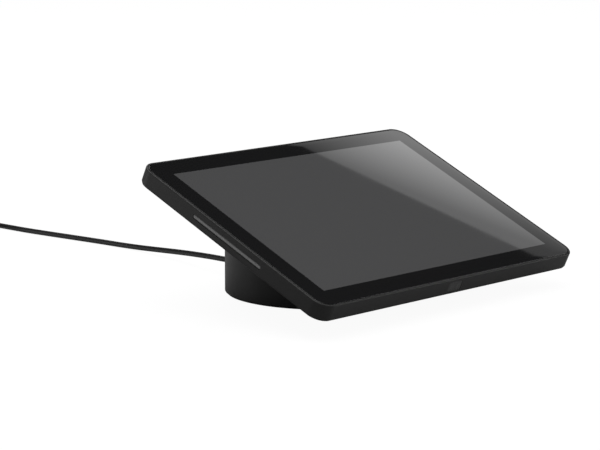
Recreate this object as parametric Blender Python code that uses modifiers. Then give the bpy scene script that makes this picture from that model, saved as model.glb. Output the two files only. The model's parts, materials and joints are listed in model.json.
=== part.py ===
import math

import bmesh
import bpy
from mathutils import Matrix, Vector

# A touch-screen desk phone: a shallow head on a slanted round pedestal, with a thin network lead.
# All sizes are in metres. The origin is on the desk, in the middle of the phone's own outline,
# with the user at -Y. The head's parts are made flat, in the head's own axes: X to the right,
# Y up the slope of the screen, Z out of the screen, and 0 at the middle of the glass.

# driving sizes
tilt = math.radians(24.83)
screen_height = 0.0561
head_width = 0.248
head_depth = 0.166
head_thick = 0.011
head_corner = 0.0104
rim_chamfer = 0.0006
wall = 0.0015
fit_gap = 0.0003
base_radius = 0.0644
base_behind = 0.0332  # the pedestal's axis is this far behind the middle of the glass
base_lift = 0.001
base_wall = 0.0025
gland_height = 0.010
cord_radius = 0.0019

# where the head and the pedestal stand, so that the outline is centred on the origin
front_reach = head_depth / 2 * math.cos(tilt) - rim_chamfer * math.sin(tilt)
screen_y = (front_reach - base_behind - base_radius) / 2
base_y = screen_y + base_behind
base_back = base_y + base_radius
neck_y = 0.018  # middle of the neck plate, in the head's axes

# levels in the head, down from the top of the glass
glass_low = -0.0011
ledge_top = -0.0017
ledge_low = -0.0027
frame_low = -0.0098
floor_top = -0.0095
head_low = -head_thick
neck_top = head_low - fit_gap
neck_low = neck_top - 0.003
light_level = -0.0053

# the pedestal's ridge, and the clamp on the lead inside it
ridge_y = 0.0625
ridge_round = 0.015
back_slope = math.radians(38)
clamp_y = 0.046
clamp_screw_x = 0.0075

finishes = {
    "black_satin": ((0.018, 0.018, 0.019), 0.42, 0.0),
    "dark_glass": ((0.008, 0.008, 0.009), 0.06, 0.0),
    "rubber": ((0.02, 0.02, 0.02), 0.75, 0.0),
    "lit_plastic": ((0.16, 0.16, 0.165), 0.35, 0.0),
    "window_plastic": ((0.03, 0.03, 0.032), 0.2, 0.0),
    "panel": ((0.07, 0.07, 0.075), 0.3, 0.0),
    "steel": ((0.55, 0.56, 0.58), 0.35, 1.0),
    "dark_steel": ((0.12, 0.12, 0.13), 0.4, 1.0),
    "aluminium": ((0.7, 0.71, 0.73), 0.4, 1.0),
    "board": ((0.02, 0.12, 0.06), 0.5, 0.0),
    "ribbon": ((0.45, 0.2, 0.04), 0.4, 0.0),
    "cord_jacket": ((0.022, 0.022, 0.023), 0.5, 0.0),
    "clear_plastic": ((0.6, 0.62, 0.64), 0.12, 0.0),
}


def clear_scene():
    for thing in list(bpy.data.objects):
        bpy.data.objects.remove(thing, do_unlink=True)


def new_collection(name):
    group = bpy.data.collections.new(name)
    bpy.context.scene.collection.children.link(group)
    return group


def finish_material(finish):
    found = bpy.data.materials.get(finish)
    if found:
        return found
    colour, roughness, metallic = finishes[finish]
    made = bpy.data.materials.new(finish)
    made.use_nodes = True
    shader = made.node_tree.nodes["Principled BSDF"]
    shader.inputs["Base Color"].default_value = (*colour, 1.0)
    shader.inputs["Roughness"].default_value = roughness
    shader.inputs["Metallic"].default_value = metallic
    return made


def place(name, mesh, finish, parent=None, location=(0, 0, 0), rotation=(0, 0, 0)):
    made = bpy.data.objects.new(name, mesh)
    if finish:
        mesh.materials.append(finish_material(finish))
        parts.objects.link(made)
    else:
        cutters.objects.link(made)
        made.hide_render = True
        made.display_type = "WIRE"
    made.location = location
    made.rotation_euler = rotation
    made.parent = parent
    return made


def block_mesh(name, low, high, along=None, corner=0.0, segments=6, rims=()):
    """A box between two corners. The four edges that run along one axis are rounded, and then
    each rim (axis, side, width, segments) has the edges round that face bevelled."""
    mesh = bpy.data.meshes.new(name)
    shape = bmesh.new()
    bmesh.ops.create_cube(shape, size=1.0)
    low = Vector(low)
    high = Vector(high)
    bmesh.ops.scale(shape, vec=high - low, verts=shape.verts)
    bmesh.ops.translate(shape, vec=(low + high) / 2, verts=shape.verts)
    if corner:
        across = [i for i in range(3) if i != along]
        long_edges = [
            edge for edge in shape.edges
            if all(abs(edge.verts[0].co[i] - edge.verts[1].co[i]) < 1e-7 for i in across)
        ]
        bmesh.ops.bevel(
            shape, geom=long_edges, offset=corner, segments=segments, profile=0.5, affect="EDGES"
        )
    for axis, side, width, steps in rims:
        level = high[axis] if side > 0 else low[axis]
        rim = [e for e in shape.edges if all(abs(v.co[axis] - level) < 1e-7 for v in e.verts)]
        bmesh.ops.bevel(
            shape, geom=rim, offset=width, segments=steps, profile=0.5, affect="EDGES"
        )
    shape.to_mesh(mesh)
    shape.free()
    return mesh


def block(name, finish, low, high, parent=None, **rounding):
    return place(name, block_mesh(name, low, high, **rounding), finish, parent)


def turned(name, finish, profile, parent=None, location=(0, 0, 0), rotation=(0, 0, 0), steps=32):
    """A profile of (radius, height) points, from the top down its outer side, turned round Z."""
    closed = profile[0][0] > 0 and profile[-1][0] > 0
    mesh = bpy.data.meshes.new(name)
    count = len(profile)
    edges = [(i, i + 1) for i in range(count - 1)]
    if closed:
        edges.append((count - 1, 0))
    mesh.from_pydata([(radius, 0, height) for radius, height in profile], edges, [])
    made = place(name, mesh, finish, parent, location, rotation)
    spin = made.modifiers.new("Screw", "SCREW")
    spin.axis = "Z"
    spin.angle = 2 * math.pi
    spin.steps = steps
    spin.render_steps = steps
    spin.use_merge_vertices = True
    spin.merge_threshold = 1e-5
    spin.use_smooth_shade = False
    return made


def boolean(target, other, operation="DIFFERENCE"):
    step = target.modifiers.new(operation.title(), "BOOLEAN")
    step.operation = operation
    step.solver = "EXACT"
    step.object = other
    return target


def rod(name, finish, radius, low, high, parent=None, location=(0, 0, 0), rotation=(0, 0, 0), steps=24):
    """A plain cylinder about Z between two levels."""
    mesh = bpy.data.meshes.new(name)
    shape = bmesh.new()
    bmesh.ops.create_cone(
        shape, cap_ends=True, segments=steps, radius1=radius, radius2=radius, depth=high - low
    )
    bmesh.ops.translate(shape, vec=(0, 0, (low + high) / 2), verts=shape.verts)
    shape.to_mesh(mesh)
    shape.free()
    return place(name, mesh, finish, parent, location, rotation)


def outline_prism(name, points, half_width):
    """The (y, z) outline of a side view, carried from -half_width to +half_width along X."""
    mesh = bpy.data.meshes.new(name)
    shape = bmesh.new()
    face = shape.faces.new([shape.verts.new((-half_width, y, z)) for y, z in points])
    grown = bmesh.ops.extrude_face_region(shape, geom=[face])
    moved = [item for item in grown["geom"] if isinstance(item, bmesh.types.BMVert)]
    bmesh.ops.translate(shape, vec=(2 * half_width, 0, 0), verts=moved)
    bmesh.ops.recalc_face_normals(shape, faces=shape.faces)
    shape.to_mesh(mesh)
    shape.free()
    return place(name, mesh, None)


def smooth_route(points, gap):
    """Points about gap apart on a Catmull-Rom curve through the route's own points."""
    knots = [Vector(point) for point in points]
    knots = [2 * knots[0] - knots[1]] + knots + [2 * knots[-1] - knots[-2]]
    route = []
    for a, b, c, d in zip(knots, knots[1:], knots[2:], knots[3:]):
        steps = max(1, round((c - b).length / gap))
        for i in range(steps):
            t = i / steps
            route.append(
                0.5 * (2 * b + (c - a) * t + (2 * a - 5 * b + 4 * c - d) * t * t
                       + (3 * b - a - 3 * c + d) * t ** 3)
            )
    route.append(knots[-2])
    return route


def tube(name, finish, points, radius, gap):
    curve = bpy.data.curves.new(name, "CURVE")
    curve.dimensions = "3D"
    curve.bevel_depth = radius
    curve.bevel_resolution = 2
    curve.use_fill_caps = True
    route = smooth_route(points, gap)
    line = curve.splines.new("POLY")
    line.points.add(len(route) - 1)
    for point, place_on_route in zip(line.points, route):
        point.co = (*place_on_route, 1)
    return place(name, curve, finish)


def screw(name, parent, location, rotation, head_radius, head_height, shank_radius, shank_length):
    """A pan-headed screw whose head stands on Z = 0 with its shank below, and a round socket."""
    socket = head_radius * 0.45
    profile = [
        (0, head_height * 0.45), (socket, head_height * 0.45), (socket, head_height),
        (head_radius * 0.8, head_height), (head_radius, head_height * 0.6), (head_radius, 0),
        (shank_radius, 0), (shank_radius, -shank_length + shank_radius * 0.4),
        (shank_radius * 0.6, -shank_length), (0, -shank_length),
    ]
    return turned(name, "steel", profile, parent, location, rotation, steps=12)


# ---- head ----

def add_glass():
    half_x = head_width / 2 - wall - fit_gap
    half_y = head_depth / 2 - wall - fit_gap
    block(
        "cover_glass", "dark_glass", (-half_x, -half_y, glass_low), (half_x, half_y, 0), head,
        along=2, corner=head_corner - wall - fit_gap, segments=8,
    )
    gasket = block(
        "glass_gasket", "rubber", (-half_x + 0.0004, -half_y + 0.0004, ledge_top + 0.0001),
        (half_x - 0.0004, half_y - 0.0004, glass_low - 0.0001), head,
        along=2, corner=head_corner - wall - 0.0007, segments=6,
    )
    boolean(gasket, block(
        "gasket_opening", None, (-0.1155, -0.0747, -0.01), (0.1155, 0.0747, 0.01), head,
        along=2, corner=0.003, segments=3,
    ))


def light_slot(name, finish, side, spare, inner, outer):
    """The light bar's rounded bar shape, or the slot for it, in the side wall at +X or -X."""
    half_long = 0.0303 + spare
    half_high = 0.0013 + spare
    ends = sorted((side * inner, side * outer))
    return block(
        name, finish, (ends[0], -half_long, light_level - half_high),
        (ends[1], half_long, light_level + half_high), head,
        along=0, corner=half_high * 0.98, segments=5,
    )


def add_frame():
    half_x = head_width / 2
    half_y = head_depth / 2
    frame = block(
        "front_frame", "black_satin", (-half_x, -half_y, frame_low), (half_x, half_y, 0), head,
        along=2, corner=head_corner, segments=8, rims=[(2, 1, rim_chamfer, 2)],
    )
    pocket = block(
        "glass_pocket", None, (-half_x + wall, -half_y + wall, ledge_top),
        (half_x - wall, half_y - wall, 0.01), head,
        along=2, corner=head_corner - wall, segments=8,
    )
    opening = block(
        "panel_opening", None, (-0.1142, -0.0737, -0.02), (0.1142, 0.0737, 0.005), head,
        along=2, corner=0.002, segments=3,
    )
    cavity = block(
        "frame_cavity", None, (-half_x + wall, -half_y + wall, -0.03),
        (half_x - wall, half_y - wall, ledge_low), head,
        along=2, corner=head_corner - wall, segments=8,
    )
    window = block(
        "window_slot", None, (-0.0063, -half_y - 0.003, -0.0089), (0.0063, -half_y + 0.003, -0.0019),
        head, along=1, corner=0.0008, segments=3,
    )
    for cutter in (pocket, opening, cavity, window):
        boolean(frame, cutter)
    for side, word in ((-1, "left"), (1, "right")):
        inner = half_x - 0.004
        boolean(frame, light_slot("slot_" + word, None, side, 0.0001, inner, half_x + 0.003))


def add_lights():
    for side, word in ((-1, "left"), (1, "right")):
        light_slot("light_guide_" + word, "lit_plastic", side, 0, 0.1208, head_width / 2 - 0.0001)
        ends = sorted((side * 0.1204, side * 0.1194))
        block(
            "led_board_" + word, "board", (ends[0], -0.031, -0.0090), (ends[1], 0.031, -0.0031),
            head,
        )


def add_sensor():
    front = -head_depth / 2
    block(
        "sensor_window", "window_plastic", (-0.0062, front + 0.0001, -0.0088),
        (0.0062, front + 0.0016, -0.0020), head, along=1, corner=0.0007, segments=3,
    )
    board = block(
        "sensor_board", "board", (-0.010, front + 0.0035, -0.0090),
        (0.010, front + 0.0045, -0.0031), head,
    )
    boolean(board, block(
        "sensor_chip", None, (-0.0025, front + 0.0026, -0.0068), (0.0025, front + 0.0037, -0.0038),
        head,
    ), "UNION")


def add_display():
    block(
        "lcd_panel", "panel", (-0.1120, -0.0712, -0.0045), (0.1120, 0.0712, -0.0014), head,
        along=2, corner=0.001, segments=2,
    )
    chassis = block(
        "display_chassis", "aluminium", (-0.1150, -0.0745, -0.0056), (0.1150, 0.0745, -0.0048),
        head, along=2, corner=0.003, segments=3,
    )
    for i, x in enumerate((-0.095, 0.095)):
        boolean(chassis, block(
            f"chassis_slot_{i}", None, (x - 0.006, -0.055, -0.01), (x + 0.006, 0.055, 0.0), head,
            along=2, corner=0.003, segments=3,
        ))
    path = [(0.0716, -0.0030), (0.0762, -0.0030), (0.0770, -0.0038), (0.0770, -0.0051),
            (0.0762, -0.0059), (0.0480, -0.0059)]
    mesh = bpy.data.meshes.new("display_ribbon")
    rows = [(x, y, z) for y, z in path for x in (-0.016, 0.016)]
    faces = [(2 * i, 2 * i + 1, 2 * i + 3, 2 * i + 2) for i in range(len(path) - 1)]
    mesh.from_pydata(rows, [], faces)
    ribbon = place("display_ribbon", mesh, "ribbon", head)
    thicken = ribbon.modifiers.new("Solidify", "SOLIDIFY")
    thicken.thickness = 0.00025
    thicken.offset = 0.0


def add_boards():
    board = block(
        "main_board", "board", (-0.070, -0.055, -0.0076), (0.070, 0.0455, -0.0064), head,
        along=2, corner=0.003, segments=3,
    )
    for i, x in enumerate((-0.065, 0.065)):
        for j, y in enumerate((-0.050, 0.0405)):
            boolean(board, rod(f"board_hole_{i}{j}", None, 0.0016, -0.02, 0.0, head, (x, y, 0)))
    can = block(
        "shield_can", "steel", (-0.060, -0.040, -0.0093), (-0.030, -0.008, -0.0077), head,
        along=2, corner=0.001, segments=2,
    )
    boolean(can, block(
        "can_hollow", None, (-0.0597, -0.0397, -0.0090), (-0.0303, -0.0083, -0.0070), head,
    ))
    block(
        "lead_header", "clear_plastic", (-0.0045, neck_y - 0.0045, -0.0100),
        (0.0045, neck_y + 0.0045, -0.0077), head,
    )


def neck_screw_places():
    return [(x, neck_y + y) for x in (-0.022, 0.022) for y in (-0.013, 0.013)]


def add_rear_shell():
    half_x = head_width / 2
    half_y = head_depth / 2
    inset = 0.0004
    shell = block(
        "rear_shell", "black_satin", (-half_x + inset, -half_y + inset, head_low),
        (half_x - inset, half_y - inset, frame_low - 0.0001), head,
        along=2, corner=head_corner - inset, segments=8, rims=[(2, -1, 0.0005, 2)],
    )
    lip_x = half_x - wall - fit_gap
    lip_y = half_y - wall - fit_gap
    boolean(shell, block(
        "shell_lip", None, (-lip_x, -lip_y, -0.0105), (lip_x, lip_y, -0.0070), head,
        along=2, corner=head_corner - wall - fit_gap, segments=8,
    ), "UNION")
    boolean(shell, block(
        "shell_hollow", None, (-lip_x + 0.0012, -lip_y + 0.0012, floor_top),
        (lip_x - 0.0012, lip_y - 0.0012, 0.0), head,
        along=2, corner=head_corner - wall - fit_gap - 0.0012, segments=8,
    ))
    for i, (x, y) in enumerate(neck_screw_places()):
        boolean(shell, rod(f"boss_{i}", None, 0.0036, -0.0100, -0.0080, head, (x, y, 0)), "UNION")
    for i, (x, y) in enumerate(neck_screw_places()):
        boolean(shell, rod(f"boss_hole_{i}", None, 0.0018, -0.02, 0.0, head, (x, y, 0)))
    boolean(shell, rod("lead_hole", None, 0.0075, -0.02, 0.0, head, (0, neck_y, 0)))


def add_neck():
    plate = block(
        "neck_plate", "dark_steel", (-0.031, neck_y - 0.021, neck_low - 0.0018),
        (0.031, neck_y + 0.021, neck_low - fit_gap), head, along=2, corner=0.004, segments=4,
    )
    boolean(plate, rod("plate_lead_hole", None, 0.0075, -0.03, 0.0, head, (0, neck_y, 0)))
    for i, (x, y) in enumerate(neck_screw_places()):
        boolean(plate, rod(f"plate_hole_{i}", None, 0.0018, -0.03, 0.0, head, (x, y, 0)))
        screw(
            f"neck_screw_{i + 1}", head, (x, y, neck_low - 0.0021), (math.pi, 0, 0),
            0.0028, 0.0020, 0.0015, 0.0083,
        )


# ---- pedestal ----

def on_slope(along, down):
    """Where a point in the head's axes, along the slope and down from the glass, is in (y, z)."""
    y = screen_y + along * math.cos(tilt) + down * math.sin(tilt)
    z = screen_height + along * math.sin(tilt) - down * math.cos(tilt)
    return y, z


def pedestal_outline(low, drop):
    """The pedestal from the side: up the head's slope, over a rounded ridge and down at the back."""
    ridge_radius = ridge_round - drop
    y0, z0 = on_slope(0, -neck_top + drop)
    ridge_z = on_slope(0, -neck_top)[1] + (ridge_y - on_slope(0, -neck_top)[0]) * math.tan(tilt)
    middle_angle = (tilt - back_slope) / 2 + math.pi / 2
    reach = ridge_round / math.cos((tilt + back_slope) / 2)
    centre_y = ridge_y - reach * math.cos(middle_angle)
    centre_z = ridge_z - reach * math.sin(middle_angle)
    arc = []
    for i in range(9):
        angle = math.pi / 2 + tilt - (tilt + back_slope) * i / 8
        arc.append((centre_y + ridge_radius * math.cos(angle),
                    centre_z + ridge_radius * math.sin(angle)))
    front_y = -0.09
    front = (front_y, z0 + (front_y - y0) * math.tan(tilt))
    far_y = 0.12
    last_y, last_z = arc[-1]
    far = (far_y, last_z - (far_y - last_y) * math.tan(back_slope))
    return [(front_y, low), (far_y, low), far] + arc[::-1] + [front]


def disc(name, finish, radius, low, high, steps):
    return rod(name, finish, radius, low, high, None, (0, base_y, 0), (0, 0, 0), steps)


def around(radius, degrees):
    angle = math.radians(degrees)
    return radius * math.cos(angle), base_y + radius * math.sin(angle)


ballast_low = 0.0056
ballast_high = 0.0136
cover_high = 0.0030
boss_angles = (45, 135, 225, 315)
cover_angles = (30, 150, 210, 330)


def add_pedestal_shell():
    shell = disc("pedestal_shell", "black_satin", base_radius, base_lift, 0.12, 96)
    boolean(shell, outline_prism("shell_outline", pedestal_outline(-0.01, 0), 0.08), "INTERSECT")
    hollow = disc("shell_core", None, base_radius - base_wall, -0.02, 0.11, 96)
    boolean(hollow, outline_prism("core_outline", pedestal_outline(-0.03, base_wall), 0.09),
            "INTERSECT")
    boolean(shell, hollow)
    for i, degrees in enumerate(boss_angles):
        boss = block(
            f"shell_boss_{i}", None, (0.0500, -0.0050, ballast_high + 0.0003),
            (0.0630, 0.0050, 0.0240), None, along=2, corner=0.002, segments=3,
        )
        boss.location = (0, base_y, 0)
        boss.rotation_euler = (0, 0, math.radians(degrees))
        boolean(shell, boss, "UNION")
        x, y = around(0.0545, degrees)
        boolean(shell, rod(f"shell_boss_hole_{i}", None, 0.0016, 0.0, 0.0225, None, (x, y, 0)))
    boolean(shell, rod("shell_lead_hole", None, 0.0065, -0.05, 0.0, head, (0, neck_y, 0)))
    for i, (x, y) in enumerate(neck_screw_places()):
        boolean(shell, rod(f"shell_screw_hole_{i}", None, 0.0018, -0.02, 0.0, head, (x, y, 0)))
    boolean(shell, rod(
        "gland_hole", None, 0.0038, 0.0, 0.04, None, (0, base_back - 0.015, gland_height),
        (-math.pi / 2, 0, 0),
    ))


def add_ballast():
    plate = disc("ballast_plate", "dark_steel", 0.0585, ballast_low, ballast_high, 64)
    boolean(plate, block(
        "ballast_notch", None, (-0.009, base_y + 0.035, 0.0), (0.009, base_y + 0.070, 0.03), None,
        along=2, corner=0.004, segments=4,
    ))
    for i, degrees in enumerate(boss_angles):
        x, y = around(0.0545, degrees)
        boolean(plate, rod(f"ballast_hole_{i}", None, 0.0018, 0.0, 0.03, None, (x, y, 0)))
        screw(
            f"ballast_screw_{i + 1}", None, (x, y, ballast_low - 0.0001), (math.pi, 0, 0),
            0.0027, 0.0018, 0.0014, 0.0160,
        )
    for i, degrees in enumerate(cover_angles):
        x, y = around(0.040, degrees)
        boolean(plate, rod(f"ballast_tap_{i}", None, 0.0017, 0.0, 0.0125, None, (x, y, 0)))
    for i, x in enumerate((-clamp_screw_x, clamp_screw_x)):
        hole = rod(f"clamp_tap_{i}", None, 0.0012, 0.0070, 0.03, None, (x, clamp_y, 0))
        boolean(plate, hole)


def add_bottom():
    cover = disc(
        "bottom_cover", "black_satin", base_radius - base_wall - fit_gap, base_lift, cover_high, 64
    )
    for i, degrees in enumerate(cover_angles):
        x, y = around(0.040, degrees)
        boolean(cover, rod(f"cover_post_{i}", None, 0.0045, 0.002, 0.0053, None, (x, y, 0)), "UNION")
        boolean(cover, rod(f"cover_sink_{i}", None, 0.0033, -0.01, 0.0028, None, (x, y, 0)))
        boolean(cover, rod(f"cover_hole_{i}", None, 0.0018, -0.01, 0.02, None, (x, y, 0)))
        screw(
            f"bottom_screw_{i + 1}", None, (x, y, 0.0027), (math.pi, 0, 0),
            0.0029, 0.0015, 0.0014, 0.0092,
        )
    ring = [(0.0632, 0.0009), (0.0632, 0.0), (0.0500, 0.0), (0.0500, 0.0009)]
    turned("foot_ring", "rubber", ring, None, (0, base_y, 0), steps=64)


def add_gland():
    wall_in = base_radius - base_wall
    profile = [
        (0, base_radius + 0.0175), (0.0024, base_radius + 0.0175), (0.0027, base_radius + 0.0170),
        (0.0038, base_radius + 0.0030), (0.0052, base_radius + 0.0022),
        (0.0052, base_radius + 0.0004), (0.0036, base_radius + 0.0004),
        (0.0036, wall_in - 0.0005), (0.0052, wall_in - 0.0005), (0.0052, wall_in - 0.0024),
        (0.0030, wall_in - 0.0032), (0, wall_in - 0.0032),
    ]
    turned(
        "cable_gland", "rubber", profile, None, (0, base_y, gland_height), (-math.pi / 2, 0, 0), 24
    )


def add_clamp():
    low = ballast_high + 0.0003
    lead_z = ballast_high + 0.00235
    clamp = block(
        "cable_clamp", "black_satin", (-0.0105, clamp_y - 0.004, low),
        (0.0105, clamp_y + 0.004, low + 0.006), None, along=1, corner=0.0015, segments=3,
    )
    boolean(clamp, rod(
        "clamp_groove", None, 0.0021, -0.02, 0.02, None, (0, clamp_y, lead_z), (-math.pi / 2, 0, 0)
    ))
    boolean(clamp, block(
        "clamp_mouth", None, (-0.0021, clamp_y - 0.02, 0.0), (0.0021, clamp_y + 0.02, lead_z), None
    ))
    for i, x in enumerate((-clamp_screw_x, clamp_screw_x)):
        boolean(clamp, rod(f"clamp_hole_{i}", None, 0.0014, 0.0, 0.03, None, (x, clamp_y, 0)))
        screw(
            f"clamp_screw_{i + 1}", None, (x, clamp_y, low + 0.0061), (0, 0, 0),
            0.0023, 0.0015, 0.0010, 0.0100,
        )


def add_inner_lead():
    start_y = base_y + base_radius - base_wall - 0.0035
    hole_y, hole_z = on_slope(neck_y, -neck_top + 0.02)
    end_y, end_z = on_slope(neck_y, 0.0103)
    lead_z = ballast_high + 0.00235
    route = [
        (0, start_y, gland_height), (0, start_y - 0.006, gland_height + 0.0003),
        (0, start_y - 0.015, gland_height + 0.0032), (0, clamp_y + 0.013, lead_z - 0.0002),
        (0, clamp_y, lead_z), (0, clamp_y - 0.010, lead_z + 0.0003), (0, 0.026, lead_z + 0.0060),
        (0, hole_y + 0.004, hole_z - 0.010), (0, hole_y, hole_z), (0, end_y, end_z),
    ]
    tube("inner_lead", "cord_jacket", route, cord_radius, 0.006)


# ---- lead, coil and plug ----

coil_x = -0.005
coil_y = 0.398
coil_mid = 0.020
coil_half = 0.0057
coil_low = 0.0007

lead_route = [
    (0.0, base_back + 0.0178, 0.0100), (0.0004, 0.1130, 0.0098), (0.0030, 0.1270, 0.0093),
    (0.0086, 0.1500, 0.0078), (0.0142, 0.1720, 0.0060), (0.0190, 0.1940, 0.0042),
    (0.0224, 0.2150, 0.0028), (0.0241, 0.2350, 0.0021), (0.0243, 0.2550, 0.0020),
    (0.0235, 0.2800, 0.0020), (0.0225, 0.3060, 0.0020), (0.0218, 0.3320, 0.0020),
    (0.0222, 0.3560, 0.0021), (0.0222, 0.3700, 0.0023), (0.0217, 0.3800, 0.0025),
]
tail_route = [
    (-0.0331, 0.3990, 0.0026), (-0.0346, 0.3900, 0.0024), (-0.0352, 0.3800, 0.0023),
    (-0.0350, 0.3700, 0.0025), (-0.0346, 0.3620, 0.0031),
]
plug_x = -0.0346
plug_back = 0.3617
plug_level = 0.0035


def add_cord():
    tube("cord_lead", "cord_jacket", lead_route, cord_radius, 0.0065)
    tube("cord_tail", "cord_jacket", tail_route, cord_radius, 0.0055)
    outer = coil_mid + coil_half
    inner = coil_mid - coil_half
    high = coil_low + 2 * coil_half
    edge = 0.0012
    ring = [
        (outer - edge, high), (outer, high - edge), (outer, coil_low + edge),
        (outer - edge, coil_low), (inner + edge, coil_low), (inner, coil_low + edge),
        (inner, high - edge), (inner + edge, high),
    ]
    turned("cord_coil", "cord_jacket", ring, None, (coil_x, coil_y, 0), steps=48)


def add_tie():
    """A band round the coil's bundle, at the coil's far side."""
    band = 0.0004
    hole = Vector((0.02, coil_half + 0.0008, coil_half + 0.0002))
    outside = Vector((0.0030, hole.y + band, hole.z + band))
    centre = Vector((coil_x, coil_y + coil_mid, coil_low + coil_half))
    tie = block("coil_tie", "rubber", centre - outside, centre + outside, None,
                along=0, corner=0.0018, segments=4)
    boolean(tie, block("tie_hole", None, centre - hole, centre + hole, None,
                       along=0, corner=0.0015, segments=4))


def add_plug():
    """The plug points at -Y and lies with its latch up."""
    boot = [
        (0, 0.0), (0.0025, 0.0), (0.0028, -0.0006), (0.0033, -0.0100), (0.0033, -0.0120), (0, -0.0120),
    ]
    turned("plug_boot", "rubber", boot, None, (plug_x, plug_back, plug_level), (-math.pi / 2, 0, 0),
           steps=24)
    back = plug_back - 0.0123
    front = back - 0.0215
    body = block(
        "plug_body", "clear_plastic", (plug_x - 0.00585, front, plug_level - 0.0033),
        (plug_x + 0.00585, back, plug_level + 0.0033), None, along=1, corner=0.0003, segments=1,
    )
    for i in range(8):
        x = plug_x + (i - 3.5) * 0.00102
        boolean(body, block(
            f"contact_slot_{i}", None, (x - 0.0003, front - 0.001, plug_level - 0.004),
            (x + 0.0003, front + 0.0060, plug_level - 0.0026), None,
        ))
    boolean(body, block(
        "plug_nose", None, (plug_x - 0.0032, front, plug_level + 0.002),
        (plug_x + 0.0032, front + 0.0010, plug_level + 0.0052), None,
    ), "UNION")
    hinge = (plug_x, front + 0.0022, plug_level + 0.0045)
    tab = block_mesh("plug_latch", (-0.0032, 0.0, -0.0006), (0.0032, 0.0145, 0.0006))
    latch = place("plug_latch", tab, "clear_plastic", None, hinge)
    latch.data.transform(Matrix.Rotation(math.radians(15), 4, "X"))
    root = rod("latch_root", None, 0.0007, -0.0032, 0.0032, latch, (0, 0, 0), (0, math.pi / 2, 0))
    boolean(latch, root, "UNION")
    step = block("latch_step", None, (-0.0030, 0.0030, 0.0011), (0.0030, 0.0060, 0.0026), latch)
    boolean(latch, step, "UNION")


clear_scene()
parts = new_collection("desk_phone_controller")
cutters = new_collection("cutters")

head = bpy.data.objects.new("head_axes", None)
head.location = (0, screen_y, screen_height)
head.rotation_euler = (tilt, 0, 0)
bpy.context.scene.collection.objects.link(head)

add_glass()
add_frame()
add_lights()
add_sensor()
add_display()
add_boards()
add_rear_shell()
add_neck()
add_pedestal_shell()
add_ballast()
add_bottom()
add_gland()
add_clamp()
add_inner_lead()
add_cord()
add_tie()
add_plug()
bpy.context.view_layer.update()
print("made", len(parts.objects), "parts")
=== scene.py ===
import json
import math

import bpy
import numpy as np
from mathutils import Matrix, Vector


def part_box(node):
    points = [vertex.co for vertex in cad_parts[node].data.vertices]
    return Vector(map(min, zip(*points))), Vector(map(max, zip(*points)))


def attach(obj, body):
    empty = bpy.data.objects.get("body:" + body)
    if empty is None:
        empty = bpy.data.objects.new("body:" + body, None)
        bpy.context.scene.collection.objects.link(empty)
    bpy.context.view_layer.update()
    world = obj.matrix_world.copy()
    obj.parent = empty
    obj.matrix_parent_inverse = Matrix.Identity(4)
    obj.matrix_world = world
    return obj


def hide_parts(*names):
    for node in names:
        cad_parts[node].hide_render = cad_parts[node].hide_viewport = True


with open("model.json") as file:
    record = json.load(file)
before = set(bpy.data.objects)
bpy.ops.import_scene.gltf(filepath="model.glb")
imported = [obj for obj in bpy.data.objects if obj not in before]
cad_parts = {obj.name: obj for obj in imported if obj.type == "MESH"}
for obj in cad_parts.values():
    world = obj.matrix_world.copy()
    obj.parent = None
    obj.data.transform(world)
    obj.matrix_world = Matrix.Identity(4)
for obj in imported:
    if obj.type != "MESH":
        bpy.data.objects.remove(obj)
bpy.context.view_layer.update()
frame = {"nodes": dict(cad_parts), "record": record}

# places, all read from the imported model
touchFace = next(m for m in frame["record"]["mounts"] if m["name"] == "touch_face")
screenMiddle = np.array(touchFace["pos_m"])
screenOut = np.array(touchFace["axis"])
screenOut = screenOut / np.linalg.norm(screenOut)
tilt = math.atan2(-screenOut[1], screenOut[2])
headAxes = np.array([[1, 0, 0], [0, math.cos(tilt), math.sin(tilt)], screenOut])


def fromHead(points):
    # a point's place is the middle of the glass plus its head coordinates along the head's axes
    return screenMiddle + np.asarray(points, float) @ headAxes


def nodePoints(node):
    mesh = frame["nodes"][node].data
    flat = np.zeros(len(mesh.vertices) * 3)
    mesh.vertices.foreach_get("co", flat)
    return flat.reshape(-1, 3)


def nodeBox(node):
    # a node's lowest and highest corners
    return tuple(np.array(corner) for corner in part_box(node))


def headBox(node):
    # a node's lowest and highest corners, in the head's own axes
    points = (nodePoints(node) - screenMiddle) @ headAxes.T
    return points.min(0), points.max(0)


baseLow, baseHigh = nodeBox("pedestal_shell")
baseMiddle = (baseLow + baseHigh) / 2
baseRadius = (baseHigh[0] - baseLow[0]) / 2
glandLow, glandHigh = nodeBox("cable_gland")
coilLow, coilHigh = nodeBox("cord_coil")
coilMiddle = (coilLow + coilHigh) / 2
print("places read: screen tilt", round(math.degrees(tilt), 2), "degrees")


class Wire:
    # one socket's output; arithmetic on it adds Math nodes

    def __init__(self, finish, socket):
        self.finish = finish
        self.socket = socket

    def maths(self, operation, *values):
        return self.finish.node("ShaderNodeMath", {"operation": operation}, dict(enumerate(values)))

    def __add__(self, other):
        return self.maths("ADD", self, other)

    def __radd__(self, other):
        return self.maths("ADD", other, self)

    def __sub__(self, other):
        return self.maths("SUBTRACT", self, other)

    def __rsub__(self, other):
        return self.maths("SUBTRACT", other, self)

    def __mul__(self, other):
        return self.maths("MULTIPLY", self, other)

    def __rmul__(self, other):
        return self.maths("MULTIPLY", other, self)

    def __pow__(self, other):
        return self.maths("POWER", self, other)

    def size(self):
        return self.maths("ABSOLUTE", self)

    def above(self, edge, softness):
        # 0 below the edge, 1 above it, with a straight ramp of the given width between
        return self.finish.node(
            "ShaderNodeMapRange", {"clamp": True},
            {"Value": self, "From Min": edge - softness / 2, "From Max": edge + softness / 2},
        )


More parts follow.
